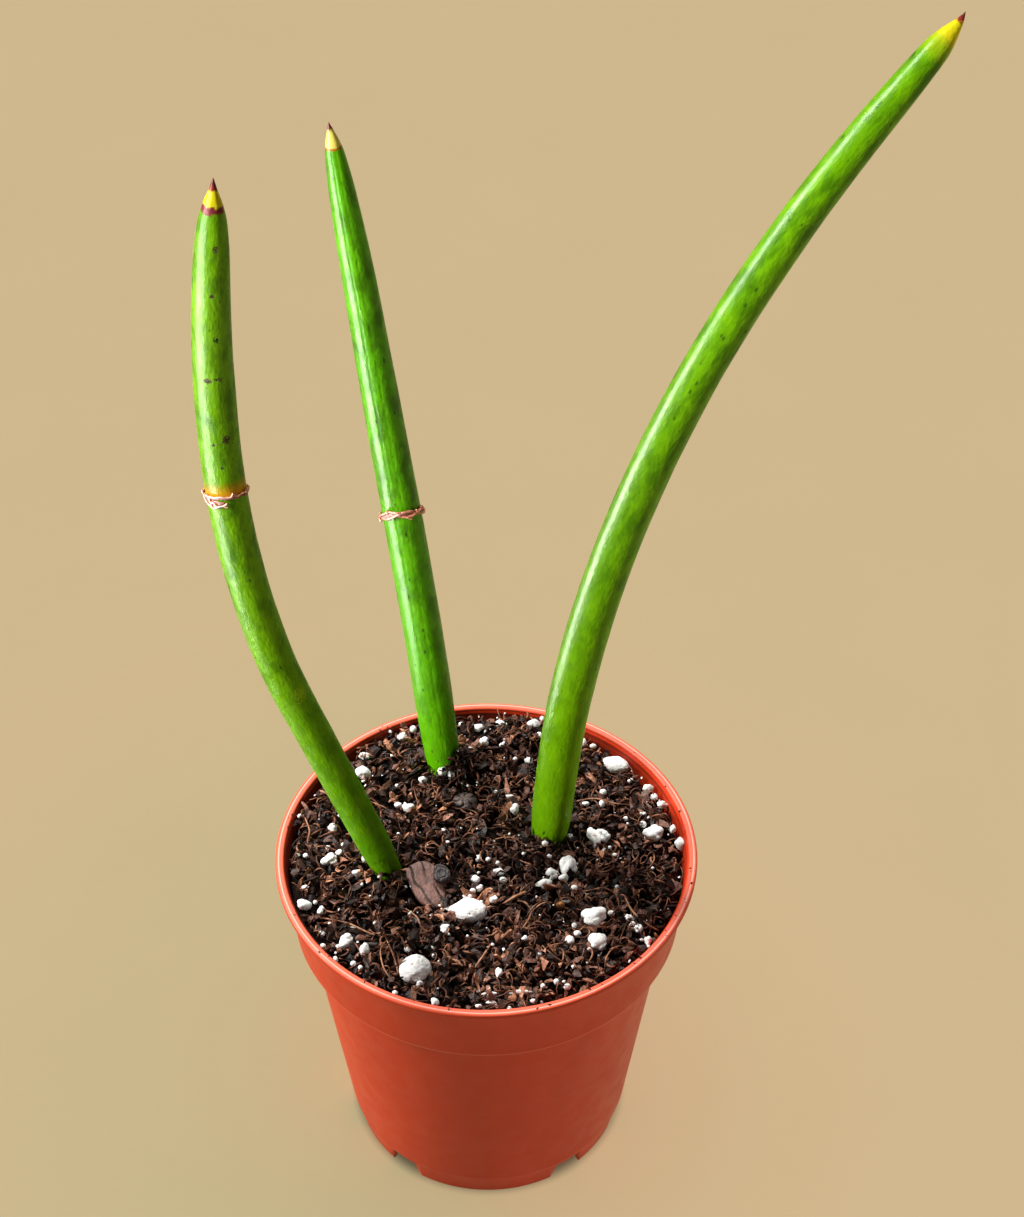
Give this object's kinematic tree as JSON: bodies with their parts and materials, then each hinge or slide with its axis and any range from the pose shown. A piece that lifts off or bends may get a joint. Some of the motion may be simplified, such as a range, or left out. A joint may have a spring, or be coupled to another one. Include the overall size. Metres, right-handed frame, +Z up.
{
  "type": "potted cylindrical snake plant",
  "caption": "Small succulent houseplant with upright round pointed leaves, growing in bark and perlite potting mix in a plain tapered plastic nursery pot.",
  "frame": {"origin": "middle of the underside of the whole plant's bounding box, on the surface that the pot stands on", "axes": "+Z up, -Y towards the viewer of the picture, +X to the viewer's right"},
  "size_m": [0.1778, 0.12, 0.3555],
  "materials": {
    "pot_plastic": "red-orange moulded plastic, satin",
    "potting_mix": "loose dark peat, coir and bark, dull",
    "leaf_skin": "waxy green leaf skin, glossy",
    "dry_ring": "dry papery plant tissue, copper brown",
    "bark": "rough dark conifer bark",
    "perlite": "white pitted expanded mineral, dull"
  },
  "bodies": {
    "root": {"nursery_pot": "pot_plastic", "potting_mix": "potting_mix", "left_leaf": "leaf_skin", "middle_leaf": "leaf_skin", "right_leaf": "leaf_skin", "left_leaf_ring": "dry_ring", "middle_leaf_ring": "dry_ring", "bark_chip": "bark", "bark_knot": "bark", "round_bark": "bark", "perlite_teardrop": "perlite", "perlite_ball": "perlite", "perlite_front_right": "perlite", "perlite_front_right_small": "perlite", "perlite_centre_right": "perlite", "perlite_centre": "perlite", "perlite_behind_leaf": "perlite", "perlite_right": "perlite", "perlite_back_right": "perlite", "perlite_back_left": "perlite", "perlite_left": "perlite", "perlite_front_left": "perlite"}
  },
  "joints": []
}
